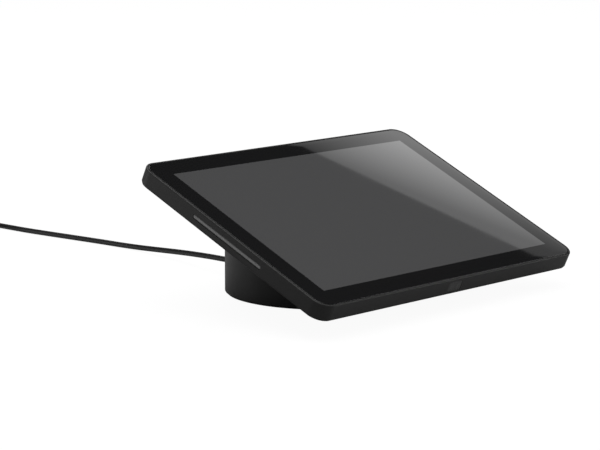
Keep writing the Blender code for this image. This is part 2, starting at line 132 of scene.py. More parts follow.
class Finish:
    # a material built from a Principled shader and whatever feeds it

    def __init__(self, name, colour, roughness, **uniform):
        self.material = bpy.data.materials.new(name)
        self.material.use_nodes = True
        self.tree = self.material.node_tree
        self.shader = self.tree.nodes["Principled BSDF"]
        self.feed("Base Color", colour)
        self.feed("Roughness", roughness)
        for socket, value in uniform.items():
            self.feed(socket.replace("_", " "), value)

    def node(self, kind, settings=None, inputs=None, out=0):
        made = self.tree.nodes.new(kind)
        for key, value in (settings or {}).items():
            setattr(made, key, value)
        for key, value in (inputs or {}).items():
            self.join(made.inputs[key], value)
        return Wire(self, made.outputs[out])

    def join(self, socket, value):
        if isinstance(value, Wire):
            self.tree.links.new(value.socket, socket)
        elif hasattr(socket.default_value, "__len__") and len(socket.default_value) == 4:
            socket.default_value = (*value, 1)
        else:
            socket.default_value = value

    def feed(self, socket, value):
        self.join(self.shader.inputs[socket], value)

    def place(self, turn=0.0, shift=(0, 0, 0), scale=(1, 1, 1)):
        # object coordinates, turned about X by an angle, then shifted
        spot = self.node("ShaderNodeTexCoord", out="Object")
        return self.node(
            "ShaderNodeMapping", None,
            {"Vector": spot, "Rotation": (turn, 0, 0), "Location": shift, "Scale": scale},
        )

    def headPlace(self):
        # object coordinates carried into the head's own axes
        return self.place(-tilt, tuple(-headAxes @ screenMiddle))

    def axis(self, vector, name):
        return self.node("ShaderNodeSeparateXYZ", None, {0: vector}, name)

    def noise(self, vector, scale, detail=2.0, roughness=0.5):
        return self.node(
            "ShaderNodeTexNoise", None,
            {"Vector": vector, "Scale": scale, "Detail": detail, "Roughness": roughness},
        )

    def cells(self, vector, scale):
        return self.node("ShaderNodeTexVoronoi", None, {"Vector": vector, "Scale": scale})

    def between(self, mask, low, high):
        # a number that runs from low to high as the mask goes from 0 to 1
        return mask * (high - low) + low

    def mixed(self, mask, first, second):
        # a colour between two, each a triple or a wire
        return self.node(
            "ShaderNodeMix", {"data_type": "RGBA"}, {"Factor": mask, 6: first, 7: second}, out=2
        )

    def bump(self, height, distance):
        self.feed("Normal", self.node(
            "ShaderNodeBump", None, {"Height": height, "Distance": distance, "Strength": 1.0}
        ))


def grey(value, warm=0.0):
    return (value * (1 + warm), value, value * (1 - warm))


caseLook = {
    "dark": 0.0125, "light": 0.0165, "smooth": 0.36, "rough": 0.46,
    "grainScale": 2600, "grainDepth": 0.000005, "driftScale": 18, "specular": 0.32,
}


def mouldedBlack(name, look):
    # spark-textured black moulding: fine even grain, slow drift in tone, faint scuffs
    finish = Finish(name, grey(look["dark"]), look["rough"], Specular_IOR_Level=look["specular"])
    spot = finish.place()
    drift = finish.noise(spot, look["driftScale"], 3)
    fine = finish.noise(spot, look["grainScale"], 2, 0.6)
    pits = finish.cells(spot, look["grainScale"] * 0.6)
    finish.feed("Base Color", finish.mixed(
        drift * 0.7 + fine * 0.3, grey(look["dark"]), grey(look["light"], 0.01)
    ))
    scuff = finish.noise(finish.place(scale=(1, 6, 3)), 70, 6, 0.65).above(0.62, 0.16)
    finish.feed("Roughness", finish.between(
        drift * 0.6 + fine * 0.4, look["smooth"], look["rough"]
    ) - scuff * 0.05)
    finish.bump(fine * 0.6 + pits * 0.4, look["grainDepth"])
    return finish.material


glassLook = {
    "halfWide": 0.10848, "halfDeep": 0.0678, "edgeBlur": 0.00012,
    "panel": (0.0625, 0.0625, 0.0635), "ink": (0.0080, 0.0080, 0.0083),
    "panelGloss": 0.72, "smearScale": 22, "clean": 0.012, "smeared": 0.028,
}


def screenGlass(look):
    # printed black border round a dark panel, under glass; two hard-edged masks meet as a rectangle
    finish = Finish(
        "screenGlass", look["ink"], look["clean"], Specular_IOR_Level=0.5, IOR=1.5,
        Coat_IOR=1.5, Coat_Roughness=0.02,
    )
    spot = finish.headPlace()
    acrossX = finish.axis(spot, "X").size()
    acrossY = finish.axis(spot, "Y").size()
    inX = 1 - acrossX.above(look["halfWide"], look["edgeBlur"])
    inY = 1 - acrossY.above(look["halfDeep"], look["edgeBlur"])
    panel = inX * inY
    nearEdge = acrossX.above(look["halfWide"] - 0.006, 0.012) * 0.5 + acrossY.above(
        look["halfDeep"] - 0.006, 0.012) * 0.5
    edgeTone = grey(look["panel"][0] * 0.86)  # the panel darkens by a trace at its edges
    tone = finish.mixed(nearEdge * 0.10, look["panel"], edgeTone)
    rows = finish.node(
        "ShaderNodeTexWave", {"wave_type": "BANDS", "bands_direction": "Y"},
        {"Vector": spot, "Scale": 1350.0, "Distortion": 0.0},
    )  # the panel's own fine rows
    tone = finish.mixed(rows * 0.05, tone, grey(look["panel"][0] * 0.9))
    finish.feed("Base Color", finish.mixed(panel, look["ink"], tone))
    finish.feed("Coat Weight", panel * look["panelGloss"])  # tuned: more reflection over the panel
    smear = finish.noise(finish.place(-tilt, scale=(1, 2.2, 1)), look["smearScale"], 5, 0.6)
    prints = finish.noise(spot, 160, 4, 0.7).above(0.60, 0.20)
    finish.feed("Roughness", finish.between(
        smear.above(0.50, 0.45), look["clean"], look["smeared"]) + prints * 0.006)
    return finish.material


rubberLook = {"value": 0.012, "roughness": 0.7, "grainScale": 900, "grainDepth": 0.00002}


def plainRubber(look):
    # matt rubber: fine grain, slow drift in tone
    value, roughness = look["value"], look["roughness"]
    finish = Finish("footRubber", grey(value), roughness, Specular_IOR_Level=0.28)
    spot = finish.place()
    fine = finish.noise(spot, look["grainScale"], 3, 0.6)
    drift = finish.noise(spot, 60, 3)
    finish.feed("Base Color", finish.mixed(drift, grey(value * 0.8), grey(value * 1.25, 0.02)))
    finish.feed("Roughness", finish.between(fine, roughness - 0.07, roughness + 0.05))
    finish.bump(fine, look["grainDepth"])
    return finish.material


barLook = {"core": 0.170, "edge": 0.072, "innerFace": 0.1209, "setBack": 0.0003, "bulge": 0.0002,
           "soft": 0.00025}


def frostedBar(look):
    # milky light guide: paler along its middle, finely frosted
    finish = Finish(
        "frostedLightBar", grey(0.13), 0.34, Specular_IOR_Level=0.4, Subsurface_Weight=0.15,
        Subsurface_Radius=(0.0012, 0.0012, 0.0012), Subsurface_Scale=1.0,
    )
    spot = finish.headPlace()
    offMiddle = (finish.axis(spot, "Z") - barLevel).size()
    body = offMiddle.above(barHalfHigh * 0.62, barHalfHigh * 0.9)
    cloud = finish.noise(spot, 420, 3)
    finish.feed("Base Color", finish.mixed(body, grey(look["core"]), grey(look["edge"])))
    finish.feed("Roughness", finish.between(cloud, 0.28, 0.42))
    finish.bump(finish.noise(spot, 2400, 2), 0.00001)
    return finish.material


windowLook = {
    "eyes": (-0.0026, 0.0028), "eyeRadius": 0.0017, "eyeBlur": 0.0012, "dark": 0.0210,
    "light": 0.036, "corner": 0.0008, "edge": 0.00012, "depth": 0.0015, "setBack": 0.0001,
}


def smokedWindow(look):
    # smoked window with two faint round eyes behind it
    finish = Finish("smokedWindow", grey(0.022), 0.16, Specular_IOR_Level=0.45)
    spot = finish.headPlace()
    x = finish.axis(spot, "X")
    z = finish.axis(spot, "Z") - windowLevel
    spots = None
    for middle in look["eyes"]:
        away = ((x - middle) ** 2 + z * z) ** 0.5
        eye = 1 - away.above(look["eyeRadius"], look["eyeBlur"])
        spots = eye if spots is None else spots + eye
    tone = finish.noise(spot, 500, 2)
    finish.feed("Base Color", finish.mixed(
        spots * 0.8 + tone * 0.2, grey(look["dark"]), grey(look["light"])))
    finish.feed("Roughness", finish.between(tone, 0.14, 0.2))
    return finish.material


def platedSteel(name, value, roughness):
    # zinc-plated steel: cloudy grains and fine drawn lines
    finish = Finish(name, grey(value), roughness, Metallic=1.0)
    cloud = finish.noise(finish.place(), 240, 4, 0.6)
    lines = finish.noise(finish.place(scale=(1, 14, 1)), 600, 2)
    finish.feed("Base Color", finish.mixed(cloud, grey(value * 0.82, 0.02), grey(value * 1.1)))
    finish.feed("Roughness", finish.between(
        lines * 0.5 + cloud * 0.5, roughness - 0.08, roughness + 0.1))
    finish.bump(lines, 0.000006)
    return finish.material


def circuitBoard():
    # solder mask with copper tracks showing through as paler lines
    finish = Finish("circuitBoard", (0.01, 0.07, 0.035), 0.4, Specular_IOR_Level=0.5)
    spot = finish.headPlace()
    tracks = finish.node(
        "ShaderNodeTexBrick", {"offset": 0.5},
        {"Vector": spot, "Scale": 160.0, "Mortar Size": 0.03, "Color1": (0, 0, 0),
         "Color2": (0.1, 0.1, 0.1), "Mortar": (1, 1, 1)}, out="Color",
    )
    finish.feed("Base Color", finish.mixed(tracks * 1.0, (0.008, 0.06, 0.03), (0.03, 0.14, 0.06)))
    finish.feed("Roughness", finish.between(finish.noise(spot, 300, 3), 0.32, 0.5))
    finish.bump(tracks * 1.0, 0.00003)
    return finish.material


def amberFilm():
    finish = Finish("amberFilm", (0.45, 0.2, 0.04), 0.35)
    lines = finish.node(
        "ShaderNodeTexWave", {"wave_type": "BANDS", "bands_direction": "X"},
        {"Vector": finish.place(), "Scale": 420.0},
    )
    finish.feed("Base Color", finish.mixed(lines * 1.0, (0.35, 0.14, 0.03), (0.55, 0.26, 0.06)))
    finish.feed("Roughness", finish.between(lines * 1.0, 0.28, 0.42))
    return finish.material


def panelBack():
    finish = Finish("panelCase", grey(0.35), 0.35, Metallic=0.8)
    spot = finish.headPlace()
    brushed = finish.noise(finish.place(-tilt, scale=(1, 30, 1)), 90, 3)
    finish.feed("Base Color", finish.mixed(brushed, grey(0.28), grey(0.42)))
    finish.feed("Roughness", finish.between(brushed, 0.28, 0.44))
    finish.bump(finish.noise(spot, 600, 2), 0.00001)
    return finish.material


cordLook = {"value": 0.011, "roughness": 0.40}


def cordJacket():
    # extruded jacket: satin, with faint draw marks and a little dust
    finish = Finish("cordJacket", grey(cordLook["value"]), cordLook["roughness"],
                    Specular_IOR_Level=0.42)
    spot = finish.place()
    dust = finish.noise(spot, 700, 4, 0.65).above(0.58, 0.22)
    drift = finish.noise(spot, 90, 3)
    finish.feed("Base Color", finish.mixed(
        drift * 0.6 + dust * 0.4, grey(cordLook["value"] * 0.8), grey(cordLook["value"] * 1.5)))
    finish.feed("Roughness", finish.between(drift, 0.34, 0.46) + dust * 0.08)
    finish.bump(finish.noise(spot, 1500, 2), 0.000012)
    return finish.material


def clearMoulding():
    # clear plug plastic, a little cloudy, with flow lines
    finish = Finish("clearMoulding", grey(0.75), 0.12, Transmission_Weight=0.72, IOR=1.58)
    cloud = finish.noise(finish.place(scale=(2, 1, 2)), 260, 3)
    finish.feed("Base Color", finish.mixed(cloud, (0.62, 0.64, 0.66), (0.80, 0.81, 0.82)))
    finish.feed("Roughness", finish.between(cloud, 0.07, 0.2))
    return finish.material


def goldPlate():
    finish = Finish("goldPlate", (0.85, 0.58, 0.2), 0.22, Metallic=1.0)
    cloud = finish.noise(finish.place(), 900, 2)
    finish.feed("Base Color", finish.mixed(cloud, (0.72, 0.47, 0.15), (0.9, 0.64, 0.26)))
    finish.feed("Roughness", finish.between(cloud, 0.16, 0.3))
    return finish.material


def roundPath(halfX, halfY, corner, perCorner=16):
    # a rounded rectangle as corner centres and unit directions, anticlockwise:
    # a point on it is its corner's centre plus the corner radius along the direction
    turns = np.linspace(0, math.pi / 2, perCorner)
    signs = [(1, 1), (-1, 1), (-1, -1), (1, -1)]
    centres = np.concatenate([
        np.tile([sx * (halfX - corner), sy * (halfY - corner)], (perCorner, 1)) for sx, sy in signs
    ])
    angles = np.concatenate([turns + k * math.pi / 2 for k in range(4)])
    directions = np.stack([np.cos(angles), np.sin(angles)], 1)
    return centres, directions, corner


def carried(profile, path):
    # a profile of (outward, height) points carried round a path: the outward part moves along the
    # path's own direction, the height stands along the third axis
    centres, directions, corner = path
    profile = np.asarray(profile, float)
    flat = centres[None] + directions[None] * (corner + profile[:, 0])[:, None, None]
    high = np.broadcast_to(profile[:, 1][:, None, None], flat.shape[:2] + (1,))
    return np.concatenate([flat, high], 2)


def turnedGrid(profile, steps=96, start=0.0):
    # a profile of (radius, height) points turned once round the third axis
    profile = np.asarray(profile, float)
    angles = start + np.linspace(0, 2 * math.pi, steps, endpoint=False)
    x = profile[:, 0][:, None] * np.cos(angles)
    y = profile[:, 0][:, None] * np.sin(angles)
    z = np.broadcast_to(profile[:, 1][:, None], x.shape)
    return np.stack([x, y, z], 2)


def arc(centreOut, centreHigh, radius, start, stop, steps=6):
    # points on a circle from one angle to another, in degrees
    angles = np.radians(np.linspace(start, stop, steps))
    return list(zip(centreOut + radius * np.cos(angles), centreHigh + radius * np.sin(angles)))


def meshFromGrid(name, grid, wrapRows=False):
    # quads join each point to the next in its row and column; columns always close on themselves,
    # rows close too on a ring, and otherwise a flat face closes each end
    rows, columns = grid.shape[:2]
    index = np.arange(rows * columns).reshape(rows, columns)
    if wrapRows:
        upper = np.roll(index, -1, 0)
        lower = index
    else:
        lower, upper = index[:-1], index[1:]
    quads = np.stack([lower, np.roll(lower, -1, 1), np.roll(upper, -1, 1), upper], 2).reshape(-1, 4)
    points = grid.reshape(-1, 3)
    a, b, c, d = (points[quads[:, k]] for k in range(4))
    volume = np.einsum("ij,ij->", a, np.cross(b, c)) + np.einsum("ij,ij->", a, np.cross(c, d))
    faces = quads.tolist()
    if not wrapRows:
        first, last = points[index[0]], points[index[-1]]
        volume -= np.einsum("ij,ij->", first[:1].repeat(columns, 0),
                            np.cross(first, np.roll(first, -1, 0)))
        volume += np.einsum("ij,ij->", last[:1].repeat(columns, 0),
                            np.cross(last, np.roll(last, -1, 0)))
        faces += [index[0][::-1].tolist(), index[-1].tolist()]
    if volume < 0:
        faces = [face[::-1] for face in faces]
    mesh = bpy.data.meshes.new(name)
    mesh.from_pydata(points.tolist(), [], faces)
    mesh.validate()
    return mesh


def newPiece(name, mesh, material, sharp=32, body="phone"):
    made = bpy.data.objects.new(name, mesh)
    bpy.context.scene.collection.objects.link(made)
    mesh.materials.clear()
    mesh.materials.append(material)
    mesh.shade_smooth()
    mesh.set_sharp_from_angle(angle=math.radians(sharp))
    evenShading = made.modifiers.new("Even shading", "WEIGHTED_NORMAL")  # flat faces stay flat
    evenShading.keep_sharp = True
    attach(made, body)
    return made


def cut(piece, cutters):
    # each cutter mesh is taken away from the piece, and the result becomes its mesh
    piece.modifiers.clear()
    for mesh in cutters:
        tool = bpy.data.objects.new("tool", mesh)
        bpy.context.scene.collection.objects.link(tool)
        step = piece.modifiers.new("Cut", "BOOLEAN")
        step.operation = "DIFFERENCE"
        step.solver = "EXACT"
        step.object = tool
        bpy.context.view_layer.update()
        graph = bpy.context.evaluated_depsgraph_get()
        result = bpy.data.meshes.new_from_object(piece.evaluated_get(graph), depsgraph=graph)
        piece.modifiers.clear()
        old = piece.data
        piece.data = result
        result.name = piece.name
        bpy.data.meshes.remove(old)
        bpy.data.objects.remove(tool)
    piece.data.shade_smooth()
    piece.data.set_sharp_from_angle(angle=math.radians(32))
    evenShading = piece.modifiers.new("Even shading", "WEIGHTED_NORMAL")
    evenShading.keep_sharp = True
    return piece


def standing(grid, middle, alongY=False):
    # a grid made round the third axis, laid along Y if asked, then moved to its middle
    if alongY:
        grid = np.stack([grid[..., 0], grid[..., 2], -grid[..., 1]], -1)
    return grid + np.asarray(middle, float)


cameraLook = {
    "place": (-1.14694, -0.98926, 0.29393), "turn": (80.674, 0.0, -47.995), "lens": 145.07,
}


def addCamera(look):
    lens = bpy.data.cameras.new("camera")
    lens.lens = look["lens"]
    lens.sensor_width = 36
    lens.clip_end = 60
    camera = bpy.data.objects.new("camera", lens)
    camera.location = look["place"]
    camera.rotation_euler = [math.radians(angle) for angle in look["turn"]]
    bpy.context.scene.collection.objects.link(camera)
    bpy.context.scene.camera = camera


addCamera(cameraLook)
print("camera set")

leadLook = {
    "radius": 0.0019, "length": 1.5, "turns": 9, "perTurn": 40, "spacing": 0.0038,
    "midRadius": 0.020, "lowest": 0.0026,
}

leadRoute = [
    (0.0, 0.104138, 0.0100), (0.0004, 0.1130, 0.0098), (0.0030, 0.1270, 0.0093),
    (0.0086, 0.1500, 0.0078), (0.0142, 0.1720, 0.0060), (0.0190, 0.1940, 0.0042),
    (0.0224, 0.2150, 0.0028), (0.0241, 0.2350, 0.0021), (0.0243, 0.2550, 0.0020),
    (0.0235, 0.2800, 0.0020), (0.0225, 0.3060, 0.0020), (0.0218, 0.3320, 0.0020),
    (0.0222, 0.3560, 0.0021), (0.0222, 0.3700, 0.0023), (0.0217, 0.3800, 0.0025),
    (0.0206, 0.3892, 0.0026),
]
tailRoute = [
    (-0.0331, 0.3990, 0.0026), (-0.0346, 0.3900, 0.0024), (-0.0352, 0.3800, 0.0023),
    (-0.0350, 0.3700, 0.0025), (-0.0346, 0.3620, 0.0031),
]


def smoothRoute(points, gap):
    # Catmull-Rom: between two points the curve blends their neighbours with cubic weights
    knots = np.array(points, float)
    knots = np.concatenate([[2 * knots[0] - knots[1]], knots, [2 * knots[-1] - knots[-2]]])
    pieces = []
    for a, b, c, d in zip(knots, knots[1:], knots[2:], knots[3:]):
        steps = max(1, round(float(np.linalg.norm(c - b)) / gap))
        t = (np.arange(steps) / steps)[:, None]
        pieces.append(0.5 * (2 * b + (c - a) * t + (2 * a - 5 * b + 4 * c - d) * t ** 2
                             + (3 * b - a - 3 * c + d) * t ** 3))
    return np.concatenate(pieces + [knots[-2:-1]])


def coilPoints(look):
    # turn after turn at a steady radius and level; in the last third of each turn both ease over
    # to the next place in the bundle, which is three wide and three high
    cells = [(1, 0), (0, 0), (-1, 0), (-1, 1), (-1, 2), (0, 2), (0, 1), (1, 1), (1, 2)]
    places = np.array(cells, float) * look["spacing"] + [look["midRadius"], look["lowest"]]
    count = look["turns"] * look["perTurn"]
    turn = np.arange(1, count + 1) / look["perTurn"]
    whole = np.minimum(turn.astype(int), len(cells) - 1)
    part = np.clip((turn - whole - 0.66) / 0.34, 0, 1)
    ease = (part * part * (3 - 2 * part))[:, None]
    now = places[whole] * (1 - ease) + places[np.minimum(whole + 1, len(cells) - 1)] * ease
    angle = 2 * math.pi * turn
    lastPlace = places[-1]
    off = np.arange(1, 20) / 20  # half a turn more, easing out of the bundle and down to the desk
    fall = off * off * (3 - 2 * off)
    leave = np.array([np.hypot(tailRoute[0][0] - coilMiddle[0], tailRoute[0][1] - coilMiddle[1]),
                      tailRoute[0][2]])
    now = np.concatenate([now, lastPlace * (1 - fall[:, None]) + leave * fall[:, None]])
    angle = np.concatenate([angle, angle[-1] + off * math.pi * 0.98])
    return np.stack([coilMiddle[0] + now[:, 0] * np.cos(angle),
                     coilMiddle[1] + now[:, 0] * np.sin(angle), now[:, 1]], 1)


def addLead(look):
    coil = coilPoints(look)
    start = (coilMiddle[0] + look["midRadius"] + look["spacing"], coilMiddle[1], look["lowest"])
    arriving = smoothRoute(leadRoute + [start] + [tuple(p) for p in coil[1:3]], 0.004)
    arriving = arriving[:-2]
    leaving = smoothRoute([tuple(p) for p in coil[-2:]] + tailRoute, 0.004)[1:]
    points = np.concatenate([arriving, coil[3:-1], leaving])
    curve = bpy.data.curves.new("network_lead", "CURVE")
    curve.dimensions = "3D"
    curve.bevel_depth = look["radius"]
    curve.bevel_resolution = 4
    curve.use_fill_caps = True
    line = curve.splines.new("POLY")
    line.points.add(len(points) - 1)
    line.points.foreach_set("co", np.concatenate([points, np.ones((len(points), 1))], 1).ravel())
    lead = bpy.data.objects.new("network_lead", curve)
    bpy.context.scene.collection.objects.link(lead)
    curve.materials.append(cordJacket())
    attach(lead, "phone")
    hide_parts("cord_lead", "cord_coil", "cord_tail")
    return lead


lead = addLead(leadLook)
print("network lead laid")


# the head's pieces, measured in its own axes
frameLow, frameHigh = headBox("front_frame")
glassLow, glassHigh = headBox("cover_glass")
rearLow, rearHigh = headBox("rear_shell")
barLow, barHigh = headBox("light_guide_left")
windowLow, windowHigh = headBox("sensor_window")
barLevel = float((barLow[2] + barHigh[2]) / 2)
barHalfHigh = float((barHigh[2] - barLow[2]) / 2)
windowLevel = float((windowLow[2] + windowHigh[2]) / 2)

headLook = {
    "corner": 0.0104, "wall": 0.0015, "rimRound": 0.00062, "seam": 0.00028, "ledge": 0.0017,
    "ledgeReach": 0.0085, "ledgeThick": 0.001, "footRound": 0.0003, "rimSoft": 0.00015,
    "glassEdge": 0.00022, "glassFlat": 0.004, "slotSpare": 0.00012, "slotReach": (0.004, 0.003),
    "windowReach": (0.003, 0.002), "shellRound": 0.0007, "shellWall": 0.0012, "shellFloor": 0.0015,
}
moulded = mouldedBlack("satinMoulding", caseLook)


def addGlass(look):
    # flat plate whose edge is a tiny quarter round above, a straight side and a small round below
    halfX, halfY = glassHigh[0], glassHigh[1]
    corner = look["corner"] - look["wall"] - look["seam"]
    edge = look["glassEdge"]
    under = glassLow[2]
    profile = [(-look["glassFlat"], 0)] + arc(-edge, -edge, edge, 90, 0, 6) + [(0, under + edge)]
    profile += arc(-edge, under + edge, edge, 0, -90, 4)[1:] + [(-look["glassFlat"], under)]
    grid = fromHead(carried(profile, roundPath(halfX, halfY, corner, 20)))
    glass = newPiece("screen_cover_glass", meshFromGrid("screen_cover_glass", grid),
                     screenGlass(glassLook), 50)
    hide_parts("cover_glass")


def slotGrid(side, spare, inner, outer, bulge=0.0):
    # a bar with round ends, carried outwards along X; its outer face swells by (1 - s squared)
    halfLong = float(barHigh[1]) + spare
    halfHigh = barHalfHigh + spare
    path = roundPath(halfLong, halfHigh, halfHigh * 0.999, 14)
    soft = barLook["soft"]
    rows = [(0, inner), (0, outer - soft)] + arc(-soft, outer - soft, soft, 30, 90, 4)
    shrink = np.linspace(0.25, 0.98, 6) * halfHigh
    rows += [(-s, outer + bulge * (1 - (1 - s / halfHigh) ** 2)) for s in shrink]
    grid = carried(rows, path)
    return fromHead(np.stack([side * grid[..., 2], grid[..., 0], grid[..., 1] + barLevel], -1))


def windowGrid(spare, depthIn, depthOut):
    # a rounded rectangle carried outwards along -Y
    path = roundPath(float(windowHigh[0]) + spare, float(windowHigh[2] - windowLevel) + spare,
                     windowLook["corner"], 8)
    edge = windowLook["edge"]
    rows = [(0, depthIn), (0, depthOut - edge)] + arc(-edge, depthOut - edge, edge, 20, 90, 4)
    grid = carried(rows, path)
    return fromHead(np.stack([grid[..., 0], -grid[..., 2], grid[..., 1] + windowLevel], -1))


def addFrontFrame(look):
    # a ring: outer wall, quarter-round rim, land, seam wall down to the glass ledge, then back
    halfX, halfY = frameHigh[0], frameHigh[1]
    low = frameLow[2]
    rim = look["rimRound"]
    foot = look["footRound"]
    inner = -look["wall"]
    soft = look["rimSoft"]
    profile = arc(-rim, -rim, rim, 0, 90, 8)
    profile += arc(inner + soft, -soft, soft, 90, 180, 4)
    profile += [(inner, -look["ledge"]), (-look["ledgeReach"], -look["ledge"]),
                (-look["ledgeReach"], -look["ledge"] - look["ledgeThick"]),
                (inner, -look["ledge"] - look["ledgeThick"]), (inner, low)]
    profile += arc(-foot, low + foot, foot, -90, 0, 5)
    profile += [(0, low + foot + 0.0003), (0, -rim - 0.0003)]  # keeps the rounds clear of the slots
    path = roundPath(halfX, halfY, look["corner"], 20)
    mesh = meshFromGrid("head_front_frame", fromHead(carried(profile, path)), wrapRows=True)
    ring = newPiece("head_front_frame", mesh, moulded)
    outer, front = float(halfX), float(halfY)
    spare = look["slotSpare"]
    inwards, outwards = look["slotReach"]
    tools = [meshFromGrid("slot", slotGrid(side, spare, outer - inwards, outer + outwards))
             for side in (-1, 1)]
    inwards, outwards = look["windowReach"]
    tools.append(meshFromGrid("slot", windowGrid(spare, front - inwards, front + outwards)))
    cut(ring, tools)
    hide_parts("front_frame")


def addRearShell(look):
    # a shallow tray: flat floor with a rounded lower edge, stepped in under the frame
    halfX, halfY = float(rearHigh[0]), float(rearHigh[1])
    low = float(rearLow[2])
    high = float(frameLow[2]) - 0.0001
    lipHigh = float(rearHigh[2])
    step = look["wall"] + look["seam"] - 0.0004
    under = look["shellRound"]
    inside = -step - look["shellWall"]
    profile = arc(-under, low + under, under, -90, 0, 7)
    profile += [(0, high), (-step, high), (-step, lipHigh), (inside, lipHigh),
                (inside, low + look["shellFloor"])]
    grid = carried(profile, roundPath(halfX, halfY, look["corner"] - 0.0004, 20))
    inwards = [0.55, 0.55, 1]  # one more ring on each flat face, before the face that closes it
    floorRow = grid[0] * inwards
    insideRow = grid[-1] * inwards
    grid = np.concatenate([floorRow[None], grid, insideRow[None]])
    mesh = meshFromGrid("head_rear_shell", fromHead(grid))
    shell = newPiece("head_rear_shell", mesh, moulded)
    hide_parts("rear_shell")


def addBarsAndWindow():
    frosted = frostedBar(barLook)
    sideFace = float(frameHigh[0]) - barLook["setBack"]
    for side, word in ((-1, "left"), (1, "right")):
        mesh = meshFromGrid(f"light_bar_{word}", slotGrid(
            side, 0.0, barLook["innerFace"], sideFace, barLook["bulge"]))
        bar = newPiece(f"light_bar_{word}", mesh, frosted, 40)
        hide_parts(f"light_guide_{word}")
    front = float(frameHigh[1])
    mesh = meshFromGrid("front_sensor_window", windowGrid(
        0.0, front - windowLook["depth"], front - windowLook["setBack"]))
    pane = newPiece("front_sensor_window", mesh, smokedWindow(windowLook), 40)
    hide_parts("sensor_window")


addGlass(headLook)
addFrontFrame(headLook)
addRearShell(headLook)
addBarsAndWindow()
print("head built")

pedestalLook = {
    "gapUnderHead": 0.0113, "ridgeY": 0.0625, "ridgeRadius": 0.015, "backSlope": math.radians(38),
    "topRound": 0.0009, "footRound": 0.0004, "wall": 0.0025, "steps": 192, "centre": 0.0006,
    "glandHole": 0.0038, "neckHole": 0.0065, "screwHole": 0.0018, "holeSpan": (-0.020, -0.0105),
}


def pedestalTop(y, drop, look):
    # height of the slanted top over any y: the head's slope, then an arc over the ridge, then the
    # back slope; drop moves the whole line inwards
    slope, back = tilt, look["backSlope"]
    radius = look["ridgeRadius"]
    y0 = screenMiddle[1] + look["gapUnderHead"] * math.sin(slope)
    z0 = screenMiddle[2] - look["gapUnderHead"] * math.cos(slope)
    ridgeZ = z0 + (look["ridgeY"] - y0) * math.tan(slope)
    lean = (slope - back) / 2 + math.pi / 2
    reach = radius / math.cos((slope + back) / 2)
    centreY = look["ridgeY"] - reach * math.cos(lean)
    centreZ = ridgeZ - reach * math.sin(lean)
    inner = radius - drop
    frontY = centreY - inner * math.sin(slope)
    backY = centreY + inner * math.sin(back)
    onSlope = centreZ + inner * math.cos(slope) + (y - frontY) * math.tan(slope)
    onBack = centreZ + inner * math.cos(back) - (y - backY) * math.tan(back)
    onArc = centreZ + np.sqrt(np.maximum(inner ** 2 - (y - centreY) ** 2, 0))
    return np.where(y < frontY, onSlope, np.where(y > backY, onBack, onArc))


def addPedestal(look):
    # for each direction round the axis: in from the middle of the top, over a small round, down the
    # wall, round the foot, and back up the inside; only the top depends on direction
    steps = look["steps"]
    angle = np.linspace(0, 2 * math.pi, steps, endpoint=False)
    radius = baseRadius
    low = float(baseLow[2])

    def ring(r, lift, drop=0.0):
        # points at radius r, whose height follows the top there, lowered by lift
        x = r * np.cos(angle)
        y = r * np.sin(angle) + baseMiddle[1]
        edgeY = (radius - look["topRound"]) * np.sin(angle) + baseMiddle[1]
        z = pedestalTop(np.where(r > radius - look["topRound"], edgeY, y), drop, look) - lift
        return np.stack([x, y, z], 1)

    def level(r, z):
        return np.stack([r * np.cos(angle), r * np.sin(angle) + baseMiddle[1],
                         np.full(steps, z)], 1)

    topRound = look["topRound"]
    foot = look["footRound"]
    rows = [ring(r, 0) for r in np.linspace(look["centre"], radius - topRound, 60)]
    for turn in np.linspace(0, math.pi / 2, 7)[1:]:
        rows.append(ring(
            radius - topRound + topRound * math.sin(turn), topRound * (1 - math.cos(turn))))
    topEdge = rows[-1]
    bottomEdge = level(radius, low + foot)
    rows += [topEdge * (1 - t) + bottomEdge * t for t in np.linspace(0, 1, 12)[1:]]
    for turn in np.linspace(0, math.pi / 2, 5)[1:]:
        rows.append(level(
            radius - foot + foot * math.cos(turn), low + foot - foot * math.sin(turn)))
    inner = radius - look["wall"]
    rows += [level(inner + 0.0002, low), level(inner, low + 0.0002)]
    rows += [ring(r, 0, look["wall"]) for r in np.linspace(inner, look["centre"], 30)]
    mesh = meshFromGrid("pedestal_body", np.array(rows))
    shell = newPiece("pedestal_body", mesh, moulded)
    bore = turnedGrid([(look["glandHole"], -0.01), (look["glandHole"], 0.01)], 40)
    boreMiddle = (0, baseHigh[1] - 0.005, glandMiddle[2])
    holes = [meshFromGrid("hole", standing(bore, boreMiddle, alongY=True))]
    neckY = float(sum(headBox("neck_plate")[k][1] for k in (0, 1)) / 2)
    spots = [(0.0, neckY, look["neckHole"])]
    for i in range(1, 5):
        low3, high3 = headBox(f"neck_screw_{i}")
        spots.append((float(low3[0] + high3[0]) / 2, float(low3[1] + high3[1]) / 2,
                      look["screwHole"]))
    start, stop = look["holeSpan"]
    for x, y, r in spots:
        grid = turnedGrid([(r, start), (r, stop)], 32) + [x, y, 0]
        holes.append(meshFromGrid("hole", fromHead(grid)))
    cut(shell, holes)
    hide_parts("pedestal_shell")


glandMiddle = (glandLow + glandHigh) / 2
addPedestal(pedestalLook)
print("pedestal built")

footLook = {
    "grooves": 5, "grooveDepth": 0.00025, "innerRadius": 0.0500, "edge": 0.0002, "steps": 160,
}
rubber = plainRubber(rubberLook)


